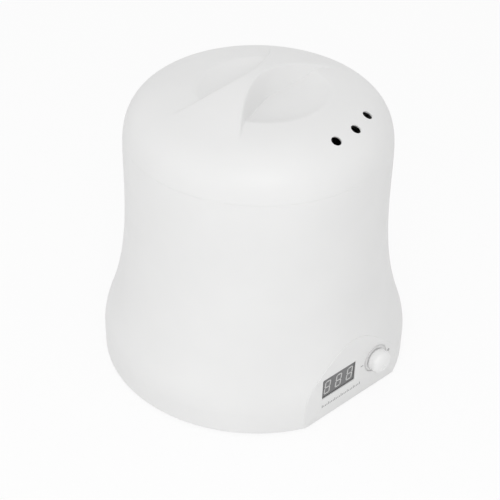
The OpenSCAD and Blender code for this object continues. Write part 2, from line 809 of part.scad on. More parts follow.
// Heated aluminium well, hung in the deck by its flange, with bosses for the sensors under its floor
module heating_well() {
    floor_r = pot_floor_r + pot_gap;
    out_r = floor_r + well_wall;
    centre_x = well_in_r - floor_r;
    centre_z = well_floor_z + floor_r;
    color("lightgray") difference() {
        union() {
            rotate_extrude() polygon(concat(
                [[0, well_low_z]],
                [for (a = [-90:15:0]) [centre_x + out_r * cos(a), centre_z + out_r * sin(a)]],
                [[well_r, well_flange_z], [well_flange_r, well_flange_z], [well_flange_r, well_top_z],
                 [well_in_r, well_top_z]],
                [for (a = [0:-15:-90]) [centre_x + floor_r * cos(a), centre_z + floor_r * sin(a)]],
                [[0, well_floor_z]]));
            at_sensor_screws() translate([0, 0, sensor_z])
                cylinder(r = sensor_boss_r, h = sensor_boss_h + eps, $fn = 48);
        }
        at_well_screws() translate([0, 0, well_flange_z - over])
            cylinder(r = screw_r + hole_fit, h = well_wall + 2 * over, $fn = 32);
        at_sensor_screws() translate([0, 0, sensor_z - over])
            cylinder(r = screw_r + pilot_fit, h = sensor_boss_h - sensor_pilot_floor + over, $fn = 32);
    }
}
module well_gasket() {
    color("indianred") translate([0, 0, deck_z]) difference() {
        ring(well_flange_r, deck_hole_r, gasket_t);
        at_well_screws() translate([0, 0, -over])
            cylinder(r = screw_r + hole_fit, h = gasket_t + 2 * over, $fn = 32);
    }
}
module well_screws() {
    color("silver") at_well_screws() translate([0, 0, well_top_z]) screw(well_screw_l);
}

// Heater band round the well, open at the back, with two bent-out ears for its clamp bolts
module heater_band() {
    color("tan") translate([0, 0, band_z]) difference() {
        union() {
            difference() {
                ring(band_r, band_in_r, band_h);
                translate([-band_opening / 2, 0, -over]) cube([band_opening, far, band_h + 2 * over]);
            }
            for (side = [0, 1]) mirror([side, 0, 0]) translate([band_opening / 2 - eps, 0, 0])
                translate([0, sqrt(band_r * band_r - band_opening * band_opening / 4) - band_ear_root, 0])
                    cube([band_ear_t, band_ear_l, band_h]);
        }
        for (place = band_bolt_places) translate([-far / 2, band_bolt_y, place * band_h]) rotate([0, 90, 0])
            cylinder(r = screw_r + band_bolt_fit, h = far, $fn = 32);
    }
}
module band_clamp() {
    color("silver") for (place = band_bolt_places)
        translate([band_ear_x, band_bolt_y, band_z + place * band_h]) rotate([0, 90, 0]) {
            screw(2 * band_ear_x + band_bolt_tail);
            translate([0, 0, -2 * band_ear_x - band_nut_t])
                cylinder(r = band_nut_r, h = band_nut_t, $fn = 6);
        }
}

// Glass-wool sleeve round the heater, open at the back for the clamp
module insulation_sleeve() {
    sleeve_h = band_h + 2 * sleeve_over;
    slit_w = band_opening + 2 * sleeve_side;
    color("ivory") translate([0, 0, band_z - sleeve_over]) difference() {
        ring(sleeve_r, sleeve_in_r, sleeve_h);
        translate([-slit_w / 2, 0, -over]) cube([slit_w, far, sleeve_h + 2 * over]);
    }
}

// Sensor in its ring lug, screwed to a boss under the floor
module temperature_probe() {
    color("goldenrod") translate([probe_x, 0, sensor_z - probe_t]) difference() {
        union() {
            cylinder(r = probe_lug_r, h = probe_t, $fn = 48);
            translate([0, probe_tab_y, 0]) block(probe_tab[0], probe_tab[1], probe_t);
            translate([0, probe_tube_y, 0]) rotate([-90, 0, 0])
                cylinder(r = probe_tube_r, h = probe_tube_l, $fn = 48);
        }
        translate([0, 0, -over]) cylinder(r = screw_r + hole_fit, h = probe_t + 2 * over, $fn = 32);
    }
}

// Snap-disc thermostat with its strap, pressed to the well's floor
module thermal_cutout() {
    color("gray") translate([cutout_x, 0, sensor_z - strap_t]) difference() {
        union() {
            cylinder(r = cutout_r, h = sensor_boss_h + strap_t, $fn = 64);
            translate([0, 0, -cutout_h]) cylinder(r = cutout_r - cutout_step, h = cutout_h + eps, $fn = 64);
            block(strap_w, cutout_pitch + 2 * strap_end, strap_t);
            for (x = [-1, 1]) translate([x * tab_x, 0, -cutout_h - tab_size[2] + over])
                block(tab_size[0], tab_size[1], tab_size[2]);
        }
        for (y = [-1, 1]) translate([0, y * cutout_pitch / 2, -over])
            cylinder(r = screw_r + hole_fit, h = strap_t + 2 * over, $fn = 32);
    }
}
module sensor_screws() {
    thread_l = sensor_boss_h - pilot_floor;
    color("silver") {
        translate([probe_x, 0, sensor_z - probe_t]) rotate([180, 0, 0]) screw(probe_t + thread_l);
        for (y = [-1, 1]) translate([cutout_x, y * cutout_pitch / 2, sensor_z - strap_t]) rotate([180, 0, 0])
            screw(strap_t + thread_l);
    }
}

// Mains and switching board on posts of the base plate, and what is soldered to it
module power_board() {
    color("darkgreen") difference() {
        translate([0, power_board_y, power_board_z]) block(power_board_w, power_board_l, board_t);
        at_power_posts() translate([0, 0, power_board_z - over])
            cylinder(r = screw_r + hole_fit, h = board_t + 2 * over, $fn = 32);
    }
}
module power_board_screws() {
    color("silver") at_power_posts() translate([0, 0, power_board_top_z])
        screw(board_t + post_h - pilot_spare);
}
module on_board(place) {
    translate([place[0], power_board_y + place[1], power_board_top_z]) children();
}
module relay() {
    color("royalblue") on_board(relay_place) {
        block(relay_size[0], relay_size[1], relay_size[2]);
        translate([0, 0, relay_size[2] - eps])
            block(relay_size[0] - 2 * relay_lid_edge, relay_size[1] - 2 * relay_lid_edge, relay_lid_t);
    }
}
module triac_heat_sink() {
    color("silver") on_board(sink_place) {
        block(sink_size[0], sink_size[1], sink_size[2]);
        for (i = [0:fin_count - 1])
            translate([(sink_size[0] + fin_l) / 2 - eps, (i - (fin_count - 1) / 2) * fin_pitch, 0])
                block(fin_l, fin_t, sink_size[2]);
        translate([eps - (sink_size[0] + triac_size[0]) / 2, 0, triac_rise])
            block(triac_size[0], triac_size[1], triac_size[2]);
    }
}
module capacitor() {
    color("slateblue") on_board(capacitor_place) {
        cylinder(r = capacitor_r, h = capacitor_h, $fn = 64);
        translate([0, 0, capacitor_h - eps])
            cylinder(r = capacitor_r - capacitor_rim, h = capacitor_rim, $fn = 64);
    }
}
module terminal_block() {
    color("limegreen") on_board([0, power_board_l / 2 - block_edge]) difference() {
        block(block_size[0], block_size[1], block_size[2]);
        for (i = [-1:1]) translate([i * block_pitch, 0, 0]) {
            translate([0, block_screw_y, block_screw_z])
                cylinder(r = block_hole_r, h = block_size[2], $fn = 32);
            translate([0, block_wire_y, block_wire_z]) rotate([-90, 0, 0])
                cylinder(r = block_hole_r, h = block_size[1], $fn = 32);
        }
    }
}

// Leads: each runs from one named place to another, and its middle points lie between the two
module mains_leads() {
    start = [block_pitch, block_mouth_y + lead_fit, block_mouth_z];
    end = [pin_pitch / 2, inlet_tab_y - pin_tail - lead_fit, inlet_z];
    run = (end[1] - start[1]) / 4;
    color("saddlebrown") for (side = [0, 1]) mirror([side, 0, 0])
        wire([start, start + [0, run, 0], (start + end) / 2, end - [0, run, 0], end], lead_r);
}
module heater_leads() {
    start = [heater_lead_x, power_board_y + heater_lead_y, power_board_top_z + lead_fit];
    end = [band_ear_x + lead_r + lead_fit, band_bolt_y + band_ear_root, band_z + 0.1 * band_h];
    rise = end[2] - start[2];
    bow = sleeve_r - band_bolt_y + 2 * lead_r;
    color("white") for (side = [0, 1]) mirror([side, 0, 0])
        wire([start, start + [0, 0, 0.2 * rise],
              start + [-0.2 * start[0], bow + heater_lead_y / 2, 0.4 * rise],
              [(start[0] + end[0]) / 2, end[1] + bow, start[2] + 0.7 * rise],
              end + [2 * lead_r, 0, -0.2 * rise], end + [lead_r / 2, 0, -0.1 * rise], end], lead_r);
}
module sensor_leads() {
    start = [probe_x, probe_tube_y + probe_tube_l + lead_fit, sensor_z - probe_t];
    end = [sensor_lead_x, sensor_lead_y, power_board_top_z + lead_fit];
    drop = start[2] - end[2];
    color("black")
        wire([start, start + [0, probe_tab_y, 0], [end[0], start[1], end[2] + 0.6 * drop],
              [end[0] + lead_r, (start[1] + end[1]) / 2, end[2] + 0.4 * drop],
              end + [0, 0, 0.25 * drop], end], lead_r);
}

// Flat ribbon from the front board down to the power board
module front_ribbon() {
    start = [-front_board_y + board_t + lead_fit, panel_mid_z - ribbon_drop];
    end = [power_board_y - power_board_l / 2 + ribbon_edge, power_board_top_z + lead_fit];
    run = end[0] - start[0];
    pts = smooth_path([start, start + [run / 8, 0], start + [run / 3, ribbon_bow / 2],
                       start + [0.6 * run, ribbon_bow], end + [-run / 7, ribbon_bow * 0.7],
                       end + [0, ribbon_bow / 3], end], wire_steps);
    m = len(pts) - 1;
    normals = [for (i = [0:m]) let (d = unit(pts[min(i + 1, m)] - pts[max(i - 1, 0)]))
        [-d[1], d[0]] * ribbon_t / 2];
    color("lightslategray") translate([ribbon_x, 0, 0]) rotate([90, 0, 90])
        linear_extrude(ribbon_w, center = true)
            polygon(concat([for (i = [0:m]) pts[i] + normals[i]], [for (i = [m:-1:0]) pts[i] - normals[i]]));
}

// Two-pin appliance inlet, screwed to a pad inside the back wall
module socket_shape() {
    for (x = [-1, 1]) translate([x * (socket_w - socket_h) / 2, 0]) circle(d = socket_h, $fn = 48);
    square([socket_w - socket_h, socket_h], center = true);
}
module mains_inlet() {
    nose_l = inlet_face_y - inlet_pad_y;
    color("#303030") difference() {
        union() {
            translate([0, inlet_pad_y + nose_l / 2 - eps, inlet_z - inlet_h / 2])
                block(inlet_w, nose_l, inlet_h);
            translate([0, inlet_pad_y - inlet_flange_t / 2, inlet_z - inlet_flange_h / 2])
                block(inlet_flange_w, inlet_flange_t, inlet_flange_h);
            translate([0, inlet_pad_y - inlet_flange_t - inlet_body_l / 2 + eps, inlet_z - inlet_h / 2])
                block(inlet_w, inlet_body_l, inlet_h);
        }
        translate([0, inlet_face_y + over, inlet_z]) rotate([90, 0, 0])
            linear_extrude(socket_l + over) socket_shape();
        for (x = [-1, 1]) translate([x * pin_pitch / 2, inlet_face_y, inlet_z]) rotate([90, 0, 0])
            cylinder(r = pin_r + pin_fit, h = far, $fn = 32);
        at_inlet_screws() translate([0, inlet_pad_y + over, 0]) rotate([90, 0, 0])
            cylinder(r = screw_r + hole_fit, h = inlet_flange_t + 2 * over, $fn = 32);
    }
}
module inlet_pins() {
    pin_l = inlet_face_y - pin_sink - inlet_tab_y + pin_tail;
    color("silver") for (x = [-1, 1]) translate([x * pin_pitch / 2, inlet_face_y - pin_sink, inlet_z])
        rotate([90, 0, 0]) cylinder(r = pin_r, h = pin_l, $fn = 32);
}
module inlet_screws() {
    color("silver") at_inlet_screws() translate([0, inlet_pad_y - inlet_flange_t, 0]) rotate([90, 0, 0])
        screw(inlet_flange_t + inlet_screw_l);
}

// Bottom cover with posts, vent slots and holes for screws and feet
module base_plate() {
    color("white") difference() {
        union() {
            intersection() {
                translate([0, 0, plate_z]) cylinder(r = base_r - wall - plate_fit, h = plate_t);
                behind_plane(inner_y - plate_fit);
            }
            at_power_posts() translate([0, 0, plate_top_z - eps])
                cylinder(r = boss_r, h = post_h + eps, $fn = 48);
        }
        at_power_posts() translate([0, 0, plate_top_z + pilot_floor])
            cylinder(r = screw_r + pilot_fit, h = post_h - pilot_floor + over, $fn = 32);
        at_base_bosses() translate([0, 0, plate_z - over]) {
            cylinder(r = screw_r + hole_fit, h = plate_t + 2 * over, $fn = 32);
            cylinder(r = head_r + base_head_side, h = plate_t - base_web_t + over, $fn = 32);
        }
        at_feet() translate([0, 0, plate_z - over])
            cylinder(r = foot_stem_r + foot_fit, h = plate_t + 2 * over, $fn = 32);
        for (i = [-3:3], side = [-1, 1]) translate([i * slot_pitch, side * slot_row_y, plate_z - over])
            block(slot_w, slot_l, plate_t + 2 * over);
    }
}
module base_screws() {
    color("silver") at_base_bosses() translate([0, 0, plate_top_z - base_web_t]) rotate([180, 0, 0]) {
        translate([0, 0, -base_screw_l]) cylinder(r = screw_r, h = base_screw_l + eps, $fn = 32);
        difference() {
            cylinder(r = head_r, h = base_head_h, $fn = 32);
            translate([0, 0, base_head_h / 2]) cylinder(r = drive_r, h = base_head_h, $fn = 6);
        }
    }
}
module rubber_feet() {
    foot_r = foot_d / 2;
    barb_z = plate_top_z + foot_barb_h;
    color("#404040") at_feet() rotate_extrude() polygon([
        [0, 0], [foot_r - foot_edge, 0], [foot_r, foot_edge], [foot_r, foot_h], [foot_stem_r, foot_h],
        [foot_stem_r, plate_top_z], [foot_stem_r + foot_barb_r, plate_top_z],
        [foot_stem_r + foot_barb_tip, barb_z], [0, barb_z]]);
}

lid();
housing();
display_window();
display_module();
control_knob();
dial_shaft();
dial_control();
dial_nut();
front_board();
front_board_screws();
wax_pot();
pot_bail();
bail_grip();
heating_well();
well_gasket();
well_screws();
heater_band();
band_clamp();
insulation_sleeve();
temperature_probe();
thermal_cutout();
sensor_screws();
power_board();
power_board_screws();
relay();
triac_heat_sink();
capacitor();
terminal_block();
mains_leads();
heater_leads();
sensor_leads();
front_ribbon();
mains_inlet();
inlet_pins();
inlet_screws();
base_plate();
base_screws();
rubber_feet();
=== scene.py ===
"""Electric wax heater: the looks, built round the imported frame.

Sizes are named in millimetres, as the CAD source has them, and meshes are made in metres.
"""
import json
import math

import bmesh
import bpy
import numpy as np
from mathutils import Matrix, Vector


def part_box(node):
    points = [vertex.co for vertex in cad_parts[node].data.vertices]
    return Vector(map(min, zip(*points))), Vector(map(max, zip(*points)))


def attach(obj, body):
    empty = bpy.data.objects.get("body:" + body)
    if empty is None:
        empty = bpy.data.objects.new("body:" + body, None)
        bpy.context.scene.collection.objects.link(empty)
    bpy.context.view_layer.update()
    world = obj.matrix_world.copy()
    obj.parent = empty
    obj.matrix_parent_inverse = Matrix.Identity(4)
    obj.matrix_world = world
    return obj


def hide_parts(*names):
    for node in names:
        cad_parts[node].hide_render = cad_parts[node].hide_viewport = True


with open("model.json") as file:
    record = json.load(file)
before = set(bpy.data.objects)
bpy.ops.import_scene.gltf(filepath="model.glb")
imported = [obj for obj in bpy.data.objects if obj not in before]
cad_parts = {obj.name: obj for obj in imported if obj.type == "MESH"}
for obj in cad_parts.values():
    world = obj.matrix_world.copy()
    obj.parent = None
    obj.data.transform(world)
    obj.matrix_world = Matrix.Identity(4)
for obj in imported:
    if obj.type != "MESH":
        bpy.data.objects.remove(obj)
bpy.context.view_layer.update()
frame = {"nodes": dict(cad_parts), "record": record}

MM = 0.001


def node_box(name):
    """Lowest and highest corner of a CAD node, in millimetres."""
    low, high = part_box(name)
    return np.array(low) / MM, np.array(high) / MM


housing_low, housing_high = node_box("housing")
lid_high = node_box("lid")[1]
knob_low, knob_high = node_box("control_knob")
window_low, window_high = node_box("display_window")
inlet_low, inlet_high = node_box("mains_inlet")

# Body: the bell-shaped outline of the source
BASE_R = housing_high[0]
NECK_STEP = 17.25
NECK_R = BASE_R - NECK_STEP
BASE_Z = housing_low[2]
SEAM_Z = housing_high[2]
SHOULDER_Z = 22.6
SHOULDER_BLEND = 8
SWEEP_END_Z = 137
SWEEP_POWER = 2.82
BASE_CHAMFER = 0.4
BASE_LIP = 0.9
FOOT_Z = BASE_Z - BASE_LIP
WALL = 2.6
RIM_W = 3.4
RIM_R = NECK_R - RIM_W
DECK_DROP = 21
DECK_Z = SEAM_Z - DECK_DROP
DECK_T = 3
DECK_HOLE_INSET = 20.55
DECK_HOLE_R = NECK_R - DECK_HOLE_INSET
EDGE_ROUND = 0.35
SEAM_ROUND = 0.06

# Panel: a flat face across the front of the bell, and the thin plate on it
PANEL_Y = -housing_low[1]
PANEL_HALF_W = 46
PANEL_TOP_Z = 62
PANEL_EDGE_BLEND = 0.5
PANEL_LEAN = 0.0208
PANEL_SHIM = 0.25
PLATE_PROUD = 0.2
PLATE_T = 1.2
PLATE_EDGE = 0.15
PLATE_OVERLAP = 0.15
PLATE_CLEARANCE = 0.1

# Window, knob and inlet
WINDOW_W = 28.4
WINDOW_H = 15.2
WINDOW_CORNER = 0.8
WINDOW_CHAMFER = 0.25
WINDOW_SINK = 0.3
WINDOW_X = (window_low[0] + window_high[0]) / 2
WINDOW_Z = (window_low[2] + window_high[2]) / 2
KNOB_X = (knob_low[0] + knob_high[0]) / 2
KNOB_Z = (knob_low[2] + knob_high[2]) / 2
KNOB_R = (knob_high[0] - knob_low[0]) / 2
KNOB_FACE_Y = -knob_low[1]
KNOB_BACK_Y = -knob_high[1]
KNOB_RING_R = 9.7
KNOB_RING_W = 0.8
KNOB_RING_DEPTH = 0.75
RING_FLOOR_CLEARANCES = 4
KNOB_RECESS_R = 6.9
KNOB_RECESS_DEPTH = 0.8
KNOB_STAND_OFF = 1.35
KNOB_SIDE_L = 3.4
KNOB_EDGE = 0.25
KNOB_DOME_FULL = 0.8
KNOB_BOSS_GAP = 0.6
KNOB_BOSS_WALL = 0.7
KNOB_HOLLOW_L = 3
KNOB_HOLLOW_TIP_R = 0.3
KNOB_FACE_TIP_R = 0.05
BUSH_HOLE_R = 3.65
INLET_W = 22.4
INLET_H = 13.4
INLET_Z = (inlet_low[2] + inlet_high[2]) / 2

# Lid: a superellipse dome with a finger dish, a raised grip and three vents
TOTAL_H = lid_high[2]
GRIP_RISE = 9
CROWN_Z = TOTAL_H - GRIP_RISE
DOME_RISE = 48
DOME_Z = CROWN_Z - DOME_RISE
DOME_POWER = 3.7
RELIEF_R = 62
LID_TURN = math.radians(14.2)
LID_GAP = 0.03
LID_TIP_R = 0.4
DISH_R = 39.4
DISH_DEPTH = 4
DISH_OFFSET = -2.8
DISH_POWER = 4
DISH_RIM_BLEND = 0.9
GRIP_WAIST = 7
GRIP_END_W = 51
GRIP_REACH = 54
GRIP_FLARE = 1.75
GRIP_FADE_R = 64
GRIP_OFFSET = 2
GRIP_SIDE_SLOPE = 2.6
GRIP_EDGE = 0.5
GRIP_FOOT_BLEND = 0.15
VENT_R = 65.3
VENT_D = 6.3
VENT_LIP = 0.9
VENT_FLARE = 1.2
VENT_PITCH = math.radians(15.6)
SKIRT_GAP = 0.4
SKIRT_R = RIM_R - SKIRT_GAP
SKIRT_T = 2
SKIRT_H = 5
INNER_EDGE = 1

# Display and marks
DIGIT_W = 5
DIGIT_H = 9.9
DIGIT_PITCH = 9.6
DIGIT_SLANT = 0.12
SEGMENT_T = 0.85
SEGMENT_GAP = 0.12
PRINT_T = 0.06
BORDER_GAP = 0.3
BORDER_W = 0.8
BORDER_CORNER = 0.3
TICK_W = 0.5
LONG_TICK_H = 2.1
SHORT_TICK_H = 1.3
LONG_TICK_EVERY = 4
SCALE_X = -8.8
SCALE_Z = 9.6
SCALE_L = 33
SCALE_TICKS = 25
SIGN_REACH = 12.1
SIGN_ARM = 2.2

# Meshes: numbers of rows and columns, where rows start and end, and the distance at which points merge
LID_COLUMNS = 432
LID_TOP_ROWS = 112
LID_SIDE_ROWS = 40
LID_INNER_ROWS = 60
PANEL_COLUMNS = 185
BACK_COLUMNS = 152
PANEL_ROWS = 124
NECK_ROWS = 40
SEAM_ROWS = 14
RIM_ROWS = 4
RIM_TOP_STEP = 4
RIM_FOOT_STEP = 1
INNER_ROWS = 30
ARCH_LIMIT_Z = 80
ARCH_TRIES = 2000
ARCH_POINTS = 161
PLATE_EDGE_ROWS = 5
KNOB_SIDE_STEPS = np.linspace(0.2, 0.9, 5)
KNOB_DOME_ROWS = 30
VENT_SIDES = 64
RECESS_SIDES = 96
KNOB_SIDES = 128
SLOPE_STEP = 0.5
LEAST_FACING = 0.001
MERGE = 0.002

# Camera, at the photograph's viewing angle
CAMERA_AZIMUTH = math.radians(42.673)
CAMERA_ELEVATION = math.radians(36.449)
CAMERA_ROLL = math.radians(1.247)
CAMERA_DISTANCE = 750
CAMERA_AIM_Z = 98
CAMERA_SIDE = -4.101
CAMERA_LIFT = -24.541
CAMERA_FOCAL_PX = 1193.57
PICTURE_PX = 500
SENSOR_MM = 36

# Stage and light: lamps by name, with place and power
FLOOR_HALF = 3000
FLOOR_GREY = 0.9
FLOOR_WHITE_SHARE = 0.86
WORLD_LIGHT = 0.765
LAMP_SIZE = 700
LAMPS = {
    "front_box": ((-700, -750, 900), 3.7),
    "side_box": ((-1000, -250, 250), 0.9),
    "top_box": ((0, 0, 1300), 0.75),
}


# Meshes

def grid_faces(rows, columns, wrap_rows=False):
    """Quads of a grid of rings, each ring closed on itself."""
    row = np.arange(rows if wrap_rows else rows - 1)[:, None]
    column = np.arange(columns)[None, :]
    after = (column + 1) % columns
    this_ring = row * columns
    next_ring = (row + 1) % rows * columns
    corners = [this_ring + column, this_ring + after, next_ring + after, next_ring + column]
    return np.stack(corners, -1).reshape(-1, 4).tolist()


def fan(ring_start, columns, centre, turned_over):
    """Triangles that close a ring on a centre point."""
    triangles = []
    for i in range(columns):
        pair = (ring_start + i, ring_start + (i + 1) % columns)
        triangles.append((pair[1], pair[0], centre) if turned_over else (*pair, centre))
    return triangles


def new_object(name, points, faces):
    """A mesh object from points in millimetres."""
    mesh = bpy.data.meshes.new(name)
    mesh.from_pydata((np.asarray(points, float).reshape(-1, 3) * MM).tolist(), [], faces)
    mesh.validate()
    obj = bpy.data.objects.new(name, mesh)
    bpy.context.scene.collection.objects.link(obj)
    return obj


def face_outwards(obj):
    """Turns the normals of a closed mesh to the outside."""
    work = bmesh.new()
    work.from_mesh(obj.data)
    bmesh.ops.recalc_face_normals(work, faces=work.faces)
    work.to_mesh(obj.data)
    work.free()


def shade(obj, angle=35):
    """Smooth shading that keeps edges sharper than an angle in degrees."""
    for polygon in obj.data.polygons:
        polygon.use_smooth = True
    obj.data.set_sharp_from_angle(angle=math.radians(angle))


def rings_object(name, rings, wrap_rows=False):
    """A closed solid from stacked rings: wrapped like a torus, or closed by a point at each end."""
    rings = np.array(rings)
    rows, columns = rings.shape[:2]
    points = rings.reshape(-1, 3)
    faces = grid_faces(rows, columns, wrap_rows)
    if not wrap_rows:
        ends = np.stack([rings[0].mean(0), rings[-1].mean(0)])
        points = np.concatenate([points, ends])
        faces += fan(0, columns, rows * columns, True)
        faces += fan((rows - 1) * columns, columns, rows * columns + 1, False)
    obj = new_object(name, points, faces)
    face_outwards(obj)
    return obj


def lathe(name, profile, sides, place):
    """A profile of (radius, height) turned round Z, then put in place (a matrix in millimetres)."""
    angles = np.linspace(0, 2 * math.pi, sides, endpoint=False)
    radius = np.array([p[0] for p in profile])[:, None]
    height = np.array([p[1] for p in profile])[:, None]
    rings = np.stack([radius * np.cos(angles), radius * np.sin(angles), height + 0 * angles], -1)
    turn = np.array(place)
    return rings_object(name, rings @ turn[:3, :3].T + turn[:3, 3])


def cut(obj, *tools):
    """Takes closed tools out of a closed mesh, removes the tools and merges points that meet."""
    for tool in tools:
        change = obj.modifiers.new("cut", "BOOLEAN")
        change.operation = "DIFFERENCE"
        change.solver = "EXACT"
        change.object = tool
    graph = bpy.context.evaluated_depsgraph_get()
    mesh = bpy.data.meshes.new_from_object(obj.evaluated_get(graph))
    obj.modifiers.clear()
    obj.data = mesh
    for tool in tools:
        bpy.data.objects.remove(tool)
    work = bmesh.new()
    work.from_mesh(mesh)
    bmesh.ops.remove_doubles(work, verts=work.verts, dist=MERGE * MM)
    bmesh.ops.dissolve_degenerate(work, edges=work.edges, dist=MERGE * MM)
    work.to_mesh(mesh)
    work.free()


def smooth_max(a, b, width):
    """The larger of two values, rounded where they are within width of each other."""
    share = np.clip(0.5 + 0.5 * (a - b) / width, 0, 1)
    return b + (a - b) * share + width * share * (1 - share)


def smooth_min(a, b, width):
    """The smaller of two values, rounded in the same way."""
    return -smooth_max(-a, -b, width)


def rounded_rectangle(width, height, corner, steps=6):
    """Points (x, z) round a rectangle with round corners."""
    points = []
    for quarter, (sx, sz) in enumerate(((1, 1), (-1, 1), (-1, -1), (1, -1))):
        for step in range(steps + 1):
            a = math.pi / 2 * (quarter + step / steps)
            points.append((sx * (width / 2 - corner) + corner * math.cos(a),
                           sz * (height / 2 - corner) + corner * math.sin(a)))
    return np.array(points)


def upright_ring(outline, x, y, z):
    """An outline of (x, z) points, moved to a place and stood up across Y."""
    return np.stack([x + outline[:, 0], np.full(len(outline), y), z + outline[:, 1]], -1)


# Surfaces that the pieces share

def bell_radius(z):
    """Outer radius of the housing at a height."""
    d = z - SHOULDER_Z
    eased = (d + SHOULDER_BLEND) ** 2 / (4 * SHOULDER_BLEND)
    run = np.where(d <= -SHOULDER_BLEND, 0, np.where(d >= SHOULDER_BLEND, d, eased))
    left = np.maximum(0, 1 - run / (SWEEP_END_Z - SHOULDER_Z))
    return NECK_R + (BASE_R - NECK_R) * left ** SWEEP_POWER


def dome_radius(z):
    """Outer radius of the upper body and lid at a height above the dome's spring line."""
    share = np.clip((z - DOME_Z) / DOME_RISE, 0, 1)
    return NECK_R * (1 - share ** DOME_POWER) ** (1 / DOME_POWER)


def dome_height(r, inset=0):
    """Height of the plain dome at a radius, moved inwards by an inset."""
    share = np.clip(r / (NECK_R - inset), 0, 1)
    return DOME_Z + (DOME_RISE - inset) * (1 - share ** DOME_POWER) ** (1 / DOME_POWER)


def lid_relief(x, y):
    """Height of dish and grip over the plain dome, in the lid's own frame."""
    r = np.hypot(x, y)
    dome = dome_height(r)
    rim = dome_height(DISH_R)
    from_middle = np.hypot(x, y - DISH_OFFSET)
    dish = rim - DISH_DEPTH + DISH_DEPTH * (from_middle / DISH_R) ** DISH_POWER
    bowl = smooth_min(dome, dish, DISH_RIM_BLEND)
    fade = 1 - (r / GRIP_FADE_R) ** 2
    top = dome + GRIP_RISE * fade * np.abs(fade)
    along = np.abs(x) / GRIP_REACH
    widening = (GRIP_END_W - GRIP_WAIST) / 2
    half_width = GRIP_WAIST / 2 + widening * along ** GRIP_FLARE
    flare = widening * GRIP_FLARE / GRIP_REACH * along ** (GRIP_FLARE - 1)
    outside = (np.abs(y - GRIP_OFFSET) - half_width) / np.sqrt(1 + flare ** 2)
    drop = GRIP_SIDE_SLOPE * 0.5 * (outside + np.sqrt(outside ** 2 + GRIP_EDGE ** 2))
    return smooth_max(bowl, top - drop, GRIP_FOOT_BLEND) - dome


def turned(x, y, z, angle):
    """Points turned round Z."""
    c, s = math.cos(angle), math.sin(angle)
    return np.stack([c * x - s * y, s * x + c * y, z], -1)


def panel_face(z):
    """How far the flat of the panel is in front of the axis at a height: it leans back a little."""
    return PANEL_Y + PANEL_SHIM + PANEL_LEAN * (KNOB_Z - z)


def plate_face(z):
    """The same for the front of the plate on it."""
    return panel_face(z) + PLATE_PROUD


def window_face(_z):
    """The same for the front of the window, which is upright."""
    return PANEL_Y - WINDOW_SINK


# Lid

def make_lid():
    """The lid as one closed mesh: relief on top, seam edge, skirt and inner face."""
    angles = np.linspace(0, 2 * math.pi, LID_COLUMNS, endpoint=False)
    low_z = SEAM_Z + LID_GAP
    seam_r = float(dome_radius(low_z))
    inner_r = SKIRT_R - SKIRT_T
    skirt_z = SEAM_Z - SKIRT_H
    top_r = np.linspace(LID_TIP_R, RELIEF_R, LID_TOP_ROWS)
    side_z = np.linspace(float(dome_height(RELIEF_R)), low_z + SEAM_ROUND, LID_SIDE_ROWS)[1:]
    inner_top_r = np.linspace(inner_r - INNER_EDGE, LID_TIP_R, LID_INNER_ROWS)
    plain = [(dome_radius(z), z) for z in side_z]
    plain += [(seam_r - SEAM_ROUND, low_z), (SKIRT_R, low_z), (SKIRT_R, skirt_z + EDGE_ROUND),
              (SKIRT_R - EDGE_ROUND, skirt_z), (inner_r + EDGE_ROUND, skirt_z),
              (inner_r, skirt_z + EDGE_ROUND), (inner_r, SEAM_Z + WALL)]

    def plain_ring(r, z):
        return turned(r * np.cos(angles), r * np.sin(angles), z + 0 * angles, LID_TURN)

    def relief_ring(r, inset):
        x, y = r * np.cos(angles), r * np.sin(angles)
        return turned(x, y, dome_height(np.hypot(x, y), inset) + lid_relief(x, y), LID_TURN)

    rings = [relief_ring(r, 0) for r in top_r]
    rings += [plain_ring(r, z) for r, z in plain]
    rings += [relief_ring(r, WALL) for r in inner_top_r]
    lid = rings_object("lid_shell", rings)
    cut(lid, *[vent_tool(k) for k in (-1, 0, 1)])
    shade(lid)
    return lid


def vent_tool(k):
    """A bore along the dome's normal at one vent, with a thin lip and a flare inside."""
    fall = float(dome_height(VENT_R + SLOPE_STEP)) - float(dome_height(VENT_R - SLOPE_STEP))
    normal = Vector((0, fall / (2 * SLOPE_STEP), 1)).normalized()
    spin = Matrix.Rotation(LID_TURN + k * VENT_PITCH, 4, "Z")
    place = spin @ Matrix.Translation((0, -VENT_R, float(dome_height(VENT_R))))
    place = place @ Vector((0, 0, 1)).rotation_difference(normal).to_matrix().to_4x4()
    low, high = -1.5 * WALL, 2 * WALL
    wide_r = VENT_D / 2 + VENT_FLARE * (-VENT_LIP - low)
    profile = [(wide_r, low), (VENT_D / 2, -VENT_LIP), (VENT_D / 2, high)]
    return lathe(f"vent_tool_{k}", profile, VENT_SIDES, place)


# Housing

